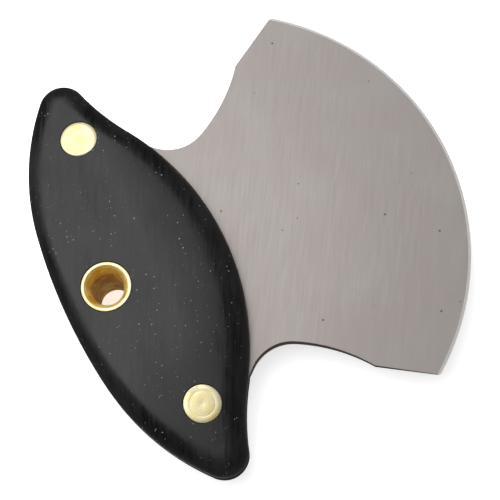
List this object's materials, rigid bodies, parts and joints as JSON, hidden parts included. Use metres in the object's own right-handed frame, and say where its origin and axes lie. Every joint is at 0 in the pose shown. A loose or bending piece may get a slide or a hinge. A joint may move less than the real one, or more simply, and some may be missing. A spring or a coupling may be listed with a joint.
{
  "type": "head knife",
  "caption": "Round-bladed head knife for cutting leather: full-tang steel blade with a wide convex edge, crowned black grip scales, flush brass rivets and a brass-lined lanyard hole.",
  "frame": {"origin": "middle of the lanyard hole, half way through the grip", "axes": "+X from the grip to the cutting edge, +Y along the grip, +Z out of the blade's side along the lanyard hole"},
  "size_m": [0.1018, 0.108, 0.021],
  "materials": {
    "steel": "fine satin ground",
    "grip": "satin, lightly buffed",
    "brass": "bright, sanded flush"
  },
  "bodies": {
    "root": {"blade": "steel", "upper_scale": "grip", "lower_scale": "grip", "rivet_a_tube": "brass", "rivet_a_shank": "brass", "rivet_b_tube": "brass", "rivet_b_shank": "brass", "liner_outer": "brass", "liner_inner": "brass"}
  },
  "joints": []
}
